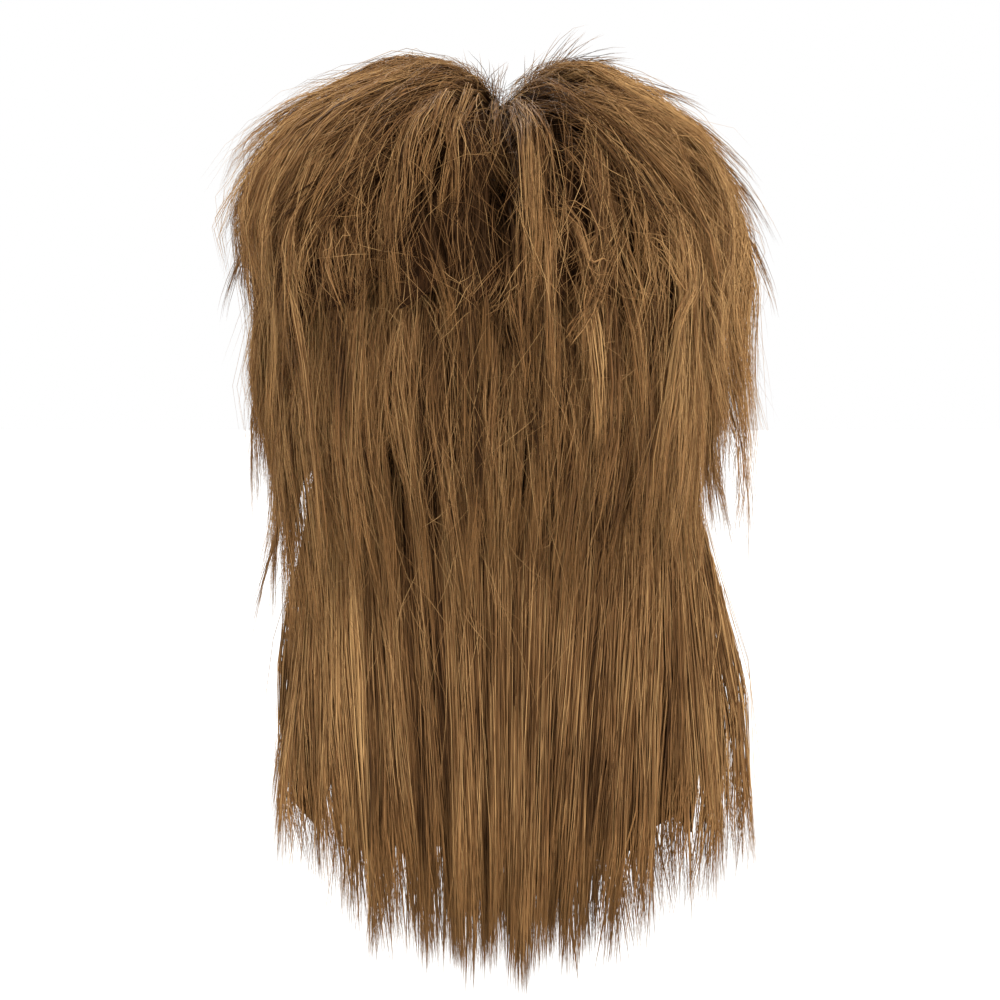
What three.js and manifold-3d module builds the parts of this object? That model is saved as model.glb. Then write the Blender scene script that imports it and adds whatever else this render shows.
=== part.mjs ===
// A mullet wig: a thin stretch cap that takes the head, and the hair on it in seven masses of pointed locks.
// The origin is where the crown of the head touches the cap. +Z is up and the face looks along -Y.
// "around" is an angle in degrees about Z: 0 is the back of the head, 90 the wearer's left (+X) and 180 the
// forehead. "level" runs down the hair: 0 at the crown, 1 at the widest part of the head and 2 at the longest
// tip.
import * as THREE from "three";
import Module from "manifold-3d";
import { mergeVertices } from "three/addons/utils/BufferGeometryUtils.js";

const wasm = await Module();
wasm.setup();

// Driving dimensions, in millimetres.
const headHalfWidth = 76;
const headHalfLength = 95;
const headCrownHeight = 95; // from the widest part of the head up to its crown
const capWall = 2;
const capRimRoll = 1; // how much thicker the elastic edge is, on the inside
const backFall = 356; // from the widest part of the head down to the longest tip
const napeBulk = 30; // thickness of the long back hair at the nape
const underBulk = 36; // how far the middle, side and fringe hair stands off what it lies on
const crownBulk = 60; // how far the teased crown stands off what it lies on
const partingWidth = 15; // half width of the valley between the two crown puffs
const partingDepth = 0.46; // share of the crown's height that the valley takes away
const tipThickness = 1.6;

// How the locks are cut, in millimetres. Relief is how deep the valleys between them go, flick is how far
// their tips kick out, and body is how much hair is left under the outer face where a layer starts to hang
// free.
const hangRelief = 6;
const hangFlick = 3;
const napeBody = 22;
const underBody = 24;
const crownRelief = 8;
const crownFlick = 6;
const crownBody = 60;

// A loose lock of full size. Each layer takes its own share of it.
const looseWidth = 17;
const looseThickness = 9;
const looseLift = 8;

// Clearances, in millimetres.
const seatGap = 1.1; // hair roots to cap
const layerGap = 2; // one layer of hair to the next
const partingGap = 0.8; // the two crown puffs to each other
const sideGap = 1; // degrees between neighbouring masses on one layer

// Where the masses meet, in degrees around the head.
const napeReach = 71;
const sideReach = 139;
const crownEnd = 180;

// Levels at which the hair is rooted on the cap.
const fringeRoot = 0.46;
const underRoot = 0.5;
const napeRoot = 0.88;

const hairBrown = 0x7b5836;
const shadowBrown = 0x5b3f26;
const capBrown = 0x33241a;

const degree = Math.PI / 180;
const fullTurn = 360;
const capHalfWidth = headHalfWidth + capWall;
const capHalfLength = headHalfLength + capWall;
const capHeight = headCrownHeight + capWall;

// The cap's edge: how far down from the crown it reaches, as an angle from straight up.
const capEdge = [
  { around: 0, down: 124 },
  { around: 34, down: 121 },
  { around: 60, down: 109 },
  { around: 78, down: 92 },
  { around: 90, down: 87 },
  { around: 103, down: 92 },
  { around: 116, down: 102 },
  { around: 129, down: 90 },
  { around: 146, down: 72 },
  { around: 180, down: 64 },
];

// The inner face of the hanging hair below the widest part of the head. Width is a share of the cap's half
// width; depth and middle are shares of its half length.
const drape = [
  { level: 1, width: 1, depth: 1, middle: 0 },
  { level: 1.077, width: 1.02, depth: 0.975, middle: 0 },
  { level: 1.154, width: 1.08, depth: 0.88, middle: 0.02 },
  { level: 1.295, width: 1.18, depth: 0.78, middle: 0.1 },
  { level: 1.45, width: 1.27, depth: 0.7, middle: 0.21 },
  { level: 1.6, width: 1.37, depth: 0.62, middle: 0.33 },
  { level: 1.73, width: 1.49, depth: 0.58, middle: 0.41 },
  { level: 1.86, width: 1.49, depth: 0.56, middle: 0.45 },
  { level: 2, width: 1.46, depth: 0.54, middle: 0.47 },
];

// How far each layer's ridges stand out: the long back hair in shares of napeBulk from the cap or the drape,
// the layer over it in shares of underBulk from that, and the crown in shares of crownBulk from that again.
const napeStandOff = [
  { level: 0.8, back: 0, left: 0, right: 0, front: 0 },
  { level: 1, back: 0.47, left: 0.33, right: 0.27, front: 0 },
  { level: 1.077, back: 0.77, left: 0.53, right: 0.43, front: 0 },
  { level: 1.154, back: 1, left: 0.7, right: 0.57, front: 0 },
  { level: 1.295, back: 0.93, left: 0.67, right: 0.57, front: 0 },
  { level: 1.45, back: 0.8, left: 0.73, right: 0.73, front: 0 },
  { level: 1.6, back: 0.67, left: 0.67, right: 0.8, front: 0 },
  { level: 1.73, back: 0.67, left: 0.67, right: 0.93, front: 0 },
  { level: 1.86, back: 0.53, left: 0.53, right: 0.73, front: 0 },
  { level: 2, back: 0.4, left: 0.4, right: 0.4, front: 0 },
];
const underStandOff = [
  { level: 0.4, back: 0, left: 0, right: 0, front: 0 },
  { level: 0.5, back: 0.11, left: 0.17, right: 0.17, front: 0.14 },
  { level: 0.667, back: 0.42, left: 0.61, right: 0.5, front: 0.36 },
  { level: 0.833, back: 0.61, left: 1, right: 0.81, front: 0.56 },
  { level: 1, back: 0.53, left: 0.94, right: 0.78, front: 0.72 },
  { level: 1.154, back: 0.53, left: 0.67, right: 0.53, front: 0.83 },
  { level: 1.295, back: 0.44, left: 0.33, right: 0.25, front: 0.78 },
  { level: 1.45, back: 0.28, left: 0.17, right: 0.17, front: 0.7 },
  { level: 2, back: 0.2, left: 0.17, right: 0.17, front: 0.7 },
];
const crownStandOff = [
  { level: 0, back: 0.79, left: 0.79, right: 0.79, front: 0.79 },
  { level: 0.167, back: 0.83, left: 0.89, right: 0.87, front: 0.77 },
  { level: 0.333, back: 0.85, left: 1.04, right: 0.98, front: 0.75 },
  { level: 0.5, back: 0.8, left: 1.06, right: 0.88, front: 0.64 },
  { level: 0.667, back: 0.62, left: 0.9, right: 0.67, front: 0.51 },
  { level: 0.833, back: 0.5, left: 0.57, right: 0.42, front: 0.43 },
  { level: 1, back: 0.37, left: 0.3, right: 0.35, front: 0.33 },
  { level: 1.077, back: 0.22, left: 0.15, right: 0.18, front: 0.18 },
  { level: 1.154, back: 0.17, left: 0.1, right: 0.1, front: 0.17 },
];

// How far down each layer's longest locks reach.
const crownHem = [
  { around: -180, level: 0.8 },
  { around: -135, level: 0.93 },
  { around: -90, level: 1.1 },
  { around: 0, level: 1.13 },
  { around: 90, level: 1.12 },
  { around: 135, level: 0.93 },
  { around: 180, level: 0.8 },
];
const underHem = [
  { around: -180, level: 0.94 },
  { around: -139, level: 1.08 },
  { around: -105, level: 1.25 },
  { around: -90, level: 1.33 },
  { around: -71, level: 1.38 },
  { around: 0, level: 1.4 },
  { around: 71, level: 1.48 },
  { around: 90, level: 1.43 },
  { around: 105, level: 1.3 },
  { around: 139, level: 1.08 },
  { around: 180, level: 0.94 },
];
const napeHem = [
  { around: -71, level: 1.8 },
  { around: -55, level: 1.87 },
  { around: -35, level: 1.94 },
  { around: 0, level: 1.99 },
  { around: 35, level: 1.95 },
  { around: 55, level: 1.89 },
  { around: 71, level: 1.77 },
];

// A share from 0 to 1 that is fixed for each pair of numbers, so that locks vary the same way every time.
function scatter(i, k) {
  const x = Math.sin(i * 12.9898 + k * 78.233) * 43758.5453;
  return x - Math.floor(x);
}

// Reads one column of a table at x, along a smooth curve through its rows that never overshoots them.
function read(rows, key, x, column) {
  const last = rows.length - 1;
  if (x <= rows[0][key]) return rows[0][column];
  if (x >= rows[last][key]) return rows[last][column];
  let i = 0;
  while (x > rows[i + 1][key]) i += 1;
  const rise = (k) =>
    (rows[k + 1][column] - rows[k][column]) / (rows[k + 1][key] - rows[k][key]);
  const slope = (k) => {
    if (k === 0 || k === last) return 0;
    const before = rise(k - 1);
    const after = rise(k);
    return before * after > 0 ? (2 * before * after) / (before + after) : 0;
  };
  const span = rows[i + 1][key] - rows[i][key];
  const t = (x - rows[i][key]) / span;
  return (
    rows[i][column] * (1 + 2 * t) * (1 - t) ** 2 +
    rows[i + 1][column] * (3 - 2 * t) * t ** 2 +
    span * t * (1 - t) * (slope(i) * (1 - t) - slope(i + 1) * t)
  );
}

// Mixes the back, left, right and front columns of a table for one direction round the head.
function readAround(rows, around, level) {
  const across = Math.sin(around * degree);
  const end = Math.cos(around * degree) > 0 ? "back" : "front";
  const side = across > 0 ? "left" : "right";
  return (
    read(rows, "level", level, end) * (1 - across ** 2) +
    read(rows, "level", level, side) * across ** 2
  );
}

// A point at a level and direction, standing off the cap or, below it, off the drape.
function place(around, level, standOff) {
  const sin = Math.sin(around * degree);
  const cos = Math.cos(around * degree);
  if (level <= 1) {
    const out = Math.sin((level * Math.PI) / 2);
    const up = Math.cos((level * Math.PI) / 2);
    return new THREE.Vector3(
      (capHalfWidth + standOff) * out * sin,
      (capHalfLength + standOff) * out * cos,
      (capHeight + standOff) * up - headCrownHeight,
    );
  }
  const width = capHalfWidth * read(drape, "level", level, "width");
  const depth = capHalfLength * read(drape, "level", level, "depth");
  const middle = capHalfLength * read(drape, "level", level, "middle");
  return new THREE.Vector3(
    (width + standOff) * sin,
    middle + (depth + standOff) * cos,
    -headCrownHeight - (level - 1) * backFall,
  );
}

// The three nested outer faces of the hair, as stand-offs.
function napeFace(around, level) {
  return napeBulk * readAround(napeStandOff, around, level);
}

function underFace(around, level) {
  return (
    napeFace(around, level) +
    underBulk * readAround(underStandOff, around, level)
  );
}

function crownFace(around, level) {
  const reach = capHalfLength * Math.sin((Math.min(level, 1) * Math.PI) / 2);
  const across = reach * Math.sin(around * degree);
  const fade = Math.max(0, 1 - level ** 2);
  const valley = partingDepth * fade * Math.exp(-((across / partingWidth) ** 2));
  const rise = crownBulk * readAround(crownStandOff, around, level);
  return underFace(around, level) + rise * (1 - valley);
}

// The faces that each layer lies on, kept clear of the bends between one row of facets and the next.
function clearOf(face, around, level, root) {
  const reach = 0.07;
  const highest = Math.max(
    face(around, level - reach),
    face(around, level),
    face(around, level + reach),
  );
  return level + reach > root ? Math.max(seatGap, highest + layerGap) : seatGap;
}

// Builds one closed mesh from an outer and an inner sheet, given as columns of points round the head.
function closedSheet(columns, wrapped) {
  const points = [];
  const faces = [];
  const index = new Map();
  const add = (p) => {
    const name = [p.x, p.y, p.z].map((v) => v.toFixed(3)).join(" ");
    if (!index.has(name)) {
      index.set(name, points.length);
      points.push(p);
    }
    return index.get(name);
  };
  const triangle = (a, b, c) => {
    if (a !== b && b !== c && a !== c) faces.push([a, b, c]);
  };
  const quad = (a, b, c, d) => {
    triangle(a, b, c);
    triangle(a, c, d);
  };
  const made = columns.map(({ outer, inner }) => ({
    outer: outer.map(add),
    inner: inner.map(add),
  }));
  const pairs = wrapped ? made.length : made.length - 1;
  for (let i = 0; i < pairs; i += 1) {
    const here = made[i];
    const next = made[(i + 1) % made.length];
    for (let j = 0; j + 1 < here.outer.length; j += 1)
      quad(here.outer[j], here.outer[j + 1], next.outer[j + 1], next.outer[j]);
    for (let j = 0; j + 1 < here.inner.length; j += 1)
      quad(here.inner[j], next.inner[j], next.inner[j + 1], here.inner[j + 1]);
    quad(here.outer[0], next.outer[0], next.inner[0], here.inner[0]);
    quad(here.outer.at(-1), here.inner.at(-1), next.inner.at(-1), next.outer.at(-1));
  }
  if (!wrapped) {
    closeEnd(made[0], triangle);
    closeEnd(made.at(-1), (a, b, c) => triangle(a, c, b));
  }
  return geometryOf(points, faces);
}

// Fills the cut end of a sheet between its outer and inner points, always stepping on along the shorter side.
function closeEnd({ outer, inner }, triangle) {
  let o = 0;
  let i = 0;
  while (o + 1 < outer.length || i + 1 < inner.length) {
    const outerNext = (o + 1) / (outer.length - 1);
    const innerNext = (i + 1) / (inner.length - 1);
    if (i + 1 >= inner.length || (o + 1 < outer.length && outerNext <= innerNext)) {
      triangle(outer[o], inner[i], outer[o + 1]);
      o += 1;
    } else {
      triangle(outer[o], inner[i], inner[i + 1]);
      i += 1;
    }
  }
}

function geometryOf(points, faces) {
  const geometry = new THREE.BufferGeometry();
  const flat = new Float32Array(points.flatMap((p) => [p.x, p.y, p.z]));
  geometry.setAttribute("position", new THREE.BufferAttribute(flat, 3));
  geometry.setIndex(faces.flat());
  return geometry;
}

// A geometry as a solid to join, turned right side out.
function solidOf(geometry) {
  const merged = mergeVertices(geometry, 1e-3);
  const build = (order) =>
    new wasm.Manifold(
      new wasm.Mesh({
        numProp: 3,
        vertProperties: merged.attributes.position.array,
        triVerts: order,
      }),
    );
  const order = new Uint32Array(merged.index.array);
  const solid = build(order);
  return solid.volume() > 0 ? solid : build(order.reverse());
}

function geometryOfSolid(solid) {
  const mesh = solid.getMesh();
  const points = [];
  for (let i = 0; i < mesh.numVert; i += 1)
    points.push(new THREE.Vector3().fromArray(mesh.vertProperties, i * mesh.numProp));
  const faces = [];
  for (let i = 0; i < mesh.triVerts.length; i += 3)
    faces.push(Array.from(mesh.triVerts.subarray(i, i + 3)));
  const geometry = geometryOf(points, faces);
  geometry.computeVertexNormals();
  return geometry;
}

// Splits a stretch round the head into locks. Each has a valley, a shoulder and a ridge that ends in its tip,
// the shoulder on one side or the other.
function lockColumns(from, to, locks, seed) {
  const columns = [];
  const step = (to - from) / locks;
  for (let i = 0; i < locks; i += 1) {
    const shift = i === 0 ? 0 : (scatter(seed, i) - 0.5) * 0.3;
    const tipFirst = scatter(seed + 1, i) > 0.5;
    const length = scatter(seed + 2, i) * 2 - 1;
    const spots = tipFirst
      ? [
          { share: shift, ridge: 0, notch: 1 },
          { share: 0.36, ridge: 1, notch: 0 },
          { share: 0.7, ridge: 0.55, notch: 0.45 },
        ]
      : [
          { share: shift, ridge: 0, notch: 1 },
          { share: 0.34, ridge: 0.55, notch: 0.45 },
          { share: 0.68, ridge: 1, notch: 0 },
        ];
    for (const { share, ridge, notch } of spots)
      columns.push({ around: from + step * (i + share), ridge, notch, length });
  }
  columns.push({ around: to, ridge: 0, notch: 1, length: 0 });
  return columns;
}

// One layer of hair: a backing with ridges that end in pointed tips.
function hairSheet(layer) {
  const columns = lockColumns(layer.from, layer.to, layer.locks, layer.seed);
  return closedSheet(
    columns.map(({ around, ridge, notch, length }) => {
      const hem = read(layer.hem, "around", around, "level");
      const tip = hem + layer.unevenness * (length - 1) - layer.tooth * notch;
      const leave = Math.min(layer.spread, tip - layer.shortest);
      const free = (level) => Math.max(0, (level - leave) / (tip - leave));
      const outerAt = (level) => {
        const lowest = layer.lower(around, level);
        const face = layer.face(around, level);
        const grown = Math.min(1, (level - layer.root) / layer.growth);
        const dip = Math.min(layer.relief, (face - lowest) * 0.5) * (1 - ridge) * grown;
        const flick = layer.flick * ridge * free(level) ** 2;
        return Math.max(face - dip + flick, lowest + tipThickness);
      };
      const innerAt = (level) => {
        const outside = outerAt(level);
        const lowest = layer.lower(around, level);
        const body = tipThickness + layer.body * (1 - free(level));
        const wanted = level <= leave ? lowest : Math.max(lowest, outside - body);
        return Math.min(wanted, outside - tipThickness);
      };
      const pull = (leave - layer.root) / (layer.spread - layer.root);
      const levels = (backed, shares) => [
        ...backed.map((level) => layer.root + (level - layer.root) * pull),
        ...shares.map((share) => leave + (tip - leave) * share),
      ];
      return {
        outer: levels(layer.outerBacked, layer.outerFree).map((v) => place(around, v, outerAt(v))),
        inner: levels(layer.innerBacked, layer.innerFree).map((v) => place(around, v, innerAt(v))),
      };
    }),
    false,
  );
}

// One loose lock: a four-sided blade that starts inside its layer, lies along it and ends in a point off it.
function looseLock(layer, lock) {
  const stations = [0, 0.2, 0.42, 0.64, 0.84];
  const levelAt = (t) => lock.from + (lock.to - lock.from) * t;
  const aroundAt = (t) => lock.around + lock.lean * t;
  const standOffAt = (t) =>
    layer.face(aroundAt(t), levelAt(t)) -
    lock.thickness * (1 - t) +
    lock.lift * Math.sin(t * Math.PI * 0.5);
  const centre = (t) => place(aroundAt(t), levelAt(t), standOffAt(t));
  const points = [];
  const faces = [];
  stations.forEach((t, i) => {
    const here = centre(t);
    const along = centre(t + 0.05).sub(centre(t)).normalize();
    const level = levelAt(t);
    const around = aroundAt(t);
    const out = place(around, level, looseLift).sub(place(around, level, 0)).normalize();
    const across = new THREE.Vector3().crossVectors(along, out).normalize();
    const full = Math.sin(Math.PI * (0.22 + 0.62 * t)) * (1 - 0.25 * t);
    const half = (lock.width / 2) * full;
    const thick = (lock.thickness / 2) * full;
    const room = standOffAt(t) - layer.lower(around, level) - tipThickness;
    const deep = thick + (layer.relief + lock.thickness) * Math.max(0, 1 - t / 0.8);
    const keel = Math.min(deep, room);
    const corners = [
      { aside: half, rise: 0 },
      { aside: 0, rise: thick },
      { aside: -half, rise: 0 },
      { aside: 0, rise: -keel },
    ];
    for (const { aside, rise } of corners)
      points.push(here.clone().addScaledVector(across, aside).addScaledVector(out, rise));
    if (i > 0)
      for (let k = 0; k < 4; k += 1) {
        const a = (i - 1) * 4 + k;
        const b = (i - 1) * 4 + ((k + 1) % 4);
        faces.push([a, b, b + 4], [a, b + 4, a + 4]);
      }
  });
  const lastRing = (stations.length - 1) * 4;
  const tip = points.length;
  points.push(centre(1));
  for (let k = 0; k < 4; k += 1) faces.push([lastRing + k, lastRing + ((k + 1) % 4), tip]);
  faces.push([0, 3, 2], [0, 2, 1]);
  return solidOf(geometryOf(points, faces));
}

// Spreads loose locks over a layer and joins them to it.
function hairMass(layer) {
  let solid = solidOf(hairSheet(layer));
  const { count, run, past, width, thickness, lift, lean } = layer.loose;
  const margin = (layer.to - layer.from) * 0.06;
  for (let i = 0; i < count; i += 1) {
    const share = (i + 0.2 + 0.6 * scatter(layer.seed + 5, i)) / count;
    const around = layer.from + margin + (layer.to - layer.from - 2 * margin) * share;
    const hem = read(layer.hem, "around", around, "level");
    const reach = hem + past * (scatter(layer.seed + 7, i) - 0.6);
    const size = 0.8 + 0.4 * scatter(layer.seed + 8, i);
    const lock = {
      around,
      from: reach - run * (0.75 + 0.5 * scatter(layer.seed + 6, i)),
      to: reach,
      width: looseWidth * width * size,
      thickness: looseThickness * thickness * size,
      lift: looseLift * lift * size,
      lean: lean * (scatter(layer.seed + 9, i) * 2 - 1),
    };
    solid = solid.add(looseLock(layer, lock));
  }
  return geometryOfSolid(solid);
}

// The stretch cap: a thin dome with a thicker elastic edge, cut up over the ears and down to the nape.
function capShell() {
  const columns = [];
  const count = 36;
  const rows = [0, 0.16, 0.32, 0.48, 0.64, 0.79, 0.93, 1];
  for (let i = 0; i < count; i += 1) {
    const around = (i * fullTurn) / count;
    const folded = Math.min(around, fullTurn - around);
    const edge = read(capEdge, "around", folded, "down");
    const at = (t, thickness) => {
      const down = edge * t * degree;
      return new THREE.Vector3(
        (headHalfWidth + thickness) * Math.sin(down) * Math.sin(around * degree),
        (headHalfLength + thickness) * Math.sin(down) * Math.cos(around * degree),
        (headCrownHeight + thickness) * Math.cos(down) - headCrownHeight,
      );
    };
    columns.push({
      outer: rows.map((t) => at(t, capWall)),
      inner: rows.map((t) => at(t, t > 0.9 ? -capRimRoll : 0)),
    });
  }
  return geometryOfSolid(solidOf(closedSheet(columns, true)));
}

// Carries a table of hems on past the forehead, for hair that crosses it.
function pastForehead(hem) {
  const onward = hem.filter((row) => row.around > -180 && row.around < 0);
  return [...hem, ...onward.map((row) => ({ ...row, around: row.around + fullTurn }))];
}

const onCap = () => seatGap;
const onNape = (around, level) => clearOf(napeFace, around, level, napeRoot);
const onUnder = (around, level) => clearOf(underFace, around, level, fringeRoot);

// Each layer has "Backed" rows, at levels down to "spread" where it lies on what is under it, and "Free"
// rows, at shares of the way from there to its tips. A layer's loose locks have their width, thickness and
// lift as shares of a full-sized one, their run and past in levels and their lean in degrees.
const napeLayer = {
  from: -napeReach,
  to: napeReach,
  locks: 17,
  seed: 11,
  root: napeRoot,
  growth: 0.3,
  spread: 1.154,
  shortest: 0.3,
  hem: napeHem,
  face: napeFace,
  lower: onCap,
  tooth: 0.085,
  unevenness: 0.022,
  relief: hangRelief,
  flick: hangFlick,
  body: napeBody,
  outerBacked: [napeRoot, 0.94, 1, 1.077, 1.154],
  outerFree: [0.2, 0.45, 0.75, 1],
  innerBacked: [napeRoot, 0.94, 1, 1.077, 1.154],
  innerFree: [0.45, 1],
  loose: { count: 6, run: 0.5, past: 0.05, width: 0.88, thickness: 0.89, lift: 0.62, lean: 2 },
};

const underLayer = {
  root: underRoot,
  growth: 0.25,
  spread: 1,
  shortest: 0.1,
  hem: underHem,
  face: underFace,
  tooth: 0.12,
  unevenness: 0.03,
  relief: hangRelief,
  flick: hangFlick,
  body: underBody,
  outerBacked: [underRoot, 0.6, 0.75, 0.9, 1],
  outerFree: [0.33, 0.67, 1],
  innerBacked: [underRoot, 0.62, 0.75, 0.88, 1],
  innerFree: [0.5, 1],
  loose: { count: 6, run: 0.36, past: 0.08, width: 1, thickness: 1, lift: 0.75, lean: 3 },
};

const middleLayer = {
  ...underLayer,
  from: -napeReach,
  to: napeReach,
  locks: 14,
  seed: 23,
  spread: 1.154,
  lower: onNape,
  outerBacked: [underRoot, 0.6, 0.75, 0.9, 1.02, 1.154],
  innerBacked: [underRoot, 0.65, 0.8, 0.88, 0.94, 1, 1.077, 1.154],
  innerFree: [0.5, 1],
  outerFree: [0.5, 1],
};

const sideLayer = {
  ...underLayer,
  from: napeReach + sideGap,
  to: sideReach,
  locks: 6,
  seed: 37,
  lower: onCap,
  loose: { count: 3, run: 0.32, past: 0.06, width: 0.94, thickness: 1, lift: 0.62, lean: 3 },
};

const fringeLayer = {
  ...underLayer,
  from: sideReach + sideGap,
  to: 360 - sideReach - sideGap,
  locks: 7,
  seed: 41,
  root: fringeRoot,
  hem: pastForehead(underHem),
  spread: 0.68,
  lower: onCap,
  tooth: 0.09,
  unevenness: 0.02,
  outerBacked: [fringeRoot, 0.53, 0.61, 0.68],
  innerBacked: [fringeRoot, 0.53, 0.61, 0.68],
  loose: { count: 3, run: 0.22, past: 0.04, width: 0.76, thickness: 0.78, lift: 0.5, lean: 3 },
};

const crownLayer = {
  from: 0,
  to: crownEnd,
  locks: 12,
  seed: 53,
  root: 0,
  growth: 0.4,
  spread: 0.65,
  shortest: 0.14,
  hem: crownHem,
  face: crownFace,
  lower: onUnder,
  tooth: 0.13,
  unevenness: 0.035,
  relief: crownRelief,
  flick: crownFlick,
  body: crownBody,
  outerBacked: [0, 0.14, 0.28, 0.41, 0.53, 0.65],
  outerFree: [0.4, 0.75, 1],
  innerBacked: [0, 0.14, 0.28, 0.4, 0.46, 0.56, 0.65],
  innerFree: [0.4, 0.75, 1],
  loose: { count: 8, run: 0.42, past: 0.16, width: 1, thickness: 1, lift: 1, lean: 5 },
};

// The same layer on the wearer's other side, with locks of its own.
function otherSide(layer, seed) {
  return { ...layer, from: -layer.to, to: -layer.from, seed };
}

function named(name, geometry, color, roughness) {
  const material = new THREE.MeshStandardMaterial({ color, roughness, metalness: 0 });
  const mesh = new THREE.Mesh(geometry, material);
  mesh.name = name;
  return mesh;
}

const wig = new THREE.Group();
wig.add(named("wig_cap", capShell(), capBrown, 0.9));

const backHair = new THREE.Group();
backHair.add(named("nape_layer", hairMass(napeLayer), hairBrown, 0.55));
backHair.add(named("middle_layer", hairMass(middleLayer), hairBrown, 0.55));
wig.add(backHair);

const sideHair = new THREE.Group();
sideHair.add(named("side_left", hairMass(sideLayer), hairBrown, 0.55));
sideHair.add(named("side_right", hairMass(otherSide(sideLayer, 67)), hairBrown, 0.55));
sideHair.add(named("fringe", hairMass(fringeLayer), hairBrown, 0.55));
wig.add(sideHair);

const crownHair = new THREE.Group();
const crownLeft = named("crown_left", hairMass(crownLayer), shadowBrown, 0.6);
crownLeft.position.x = partingGap / 2;
const crownRight = named("crown_right", hairMass(otherSide(crownLayer, 79)), shadowBrown, 0.6);
crownRight.position.x = -partingGap / 2;
crownHair.add(crownLeft, crownRight);
wig.add(crownHair);

export default wig;
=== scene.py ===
"""A brown mullet wig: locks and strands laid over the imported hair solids, on a net cap.

Directions round the head are degrees about Z: 0 is the back, 90 the wearer's left (+X) and 180 the forehead.
A level runs down the hair: 0 at the crown, 1 at the widest part of the head and 2 at the longest tip.
"""
import math

import bpy
import numpy as np
from bpy.props import FloatProperty, FloatVectorProperty, IntProperty, PointerProperty
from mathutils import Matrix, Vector
from mathutils.bvhtree import BVHTree


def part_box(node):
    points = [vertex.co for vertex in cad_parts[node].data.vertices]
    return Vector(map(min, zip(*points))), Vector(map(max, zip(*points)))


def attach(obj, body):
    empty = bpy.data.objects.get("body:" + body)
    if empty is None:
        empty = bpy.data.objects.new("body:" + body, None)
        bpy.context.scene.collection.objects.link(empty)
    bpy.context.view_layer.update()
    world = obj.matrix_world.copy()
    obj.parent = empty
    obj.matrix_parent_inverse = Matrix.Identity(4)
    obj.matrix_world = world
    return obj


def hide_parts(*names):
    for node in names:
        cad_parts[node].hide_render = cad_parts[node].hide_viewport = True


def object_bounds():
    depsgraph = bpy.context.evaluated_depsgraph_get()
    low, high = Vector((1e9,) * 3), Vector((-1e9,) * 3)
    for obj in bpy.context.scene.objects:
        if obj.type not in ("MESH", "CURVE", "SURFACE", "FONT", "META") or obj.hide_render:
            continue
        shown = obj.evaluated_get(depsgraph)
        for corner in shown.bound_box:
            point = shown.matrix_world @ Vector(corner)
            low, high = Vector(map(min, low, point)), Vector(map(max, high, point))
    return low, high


bl_info = {
    "name": "Mullet wig",
    "version": (1, 0, 0),
    "blender": (4, 5, 0),
    "location": "3D View > Sidebar > Wig",
    "description": "Combs the hair of a mullet wig over its solids, on a net cap",
    "category": "Object",
}

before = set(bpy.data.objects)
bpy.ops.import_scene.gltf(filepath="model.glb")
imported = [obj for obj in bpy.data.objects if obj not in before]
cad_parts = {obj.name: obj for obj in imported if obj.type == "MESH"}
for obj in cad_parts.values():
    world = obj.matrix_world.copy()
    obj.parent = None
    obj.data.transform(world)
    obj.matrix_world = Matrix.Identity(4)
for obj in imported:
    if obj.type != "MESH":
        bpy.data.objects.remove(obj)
solids_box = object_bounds()

CAP_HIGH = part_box("wig_cap")[1]
HEAD_CENTRE_Z = CAP_HIGH.z - CAP_HIGH.y
LONGEST_TIP_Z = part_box("nape_layer")[0].z
FALL = HEAD_CENTRE_Z - LONGEST_TIP_Z
BACK_SHIFT = 0.045
MM = 0.001
NEARLY_ZERO = 1e-12

# Lengths in metres: rays that find the faces of the solids reach this far, and a lock's width turns into
# degrees at this distance from the head's axis.
RAY_LENGTH = 0.4
HEAD_REACH = 0.12
# Hair starts at least this far down its layer, as a level.
FIRST_LEVEL = 0.004
# The gap from one layer to the next, the least thickness of a layer and of the mass in it, and the least
# distance of a strand from the layer's inner face.
LAYER_GAP = 1.5 * MM
THINNEST_LAYER = 1 * MM
LEAST_MASS = 1.8 * MM
LEAST_COVER = 0.3 * MM
# The fine lines on a strand: their width and length, and the range that their patterns are taken from.
FIBRE_WIDTH = 0.32 * MM
FIBRE_LENGTH = 38 * MM
FIBRE_CHOICES = 400
# Random depths, as shares of a layer's skin: of its locks and of the strands in a lock. The mass starts
# under them, at this many skins.
LOCK_SINK = 0.6
STRAND_SINK = 0.35
MASS_DEPTH = 1.7
# How many turns the slow waves of a strand make along it.
WAVE_TURNS = (0.6, 1.3)
# A strand's width falls by this power of the way along it, so a higher one keeps it wide for longer.
SPIKE = 2.4
SINGLE_HAIR_POINTS = 6
# A wave texture has this many bands to the metre at a scale of 1.
BANDS_TO_SCALE = 3.183
# What the camera looks at, in metres, its film in millimetres and the floor in metres.
WIG_MIDDLE = (0.001, 0, -0.195)
SENSOR_WIDTH = 36
FLOOR_SIZE = 60


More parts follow.
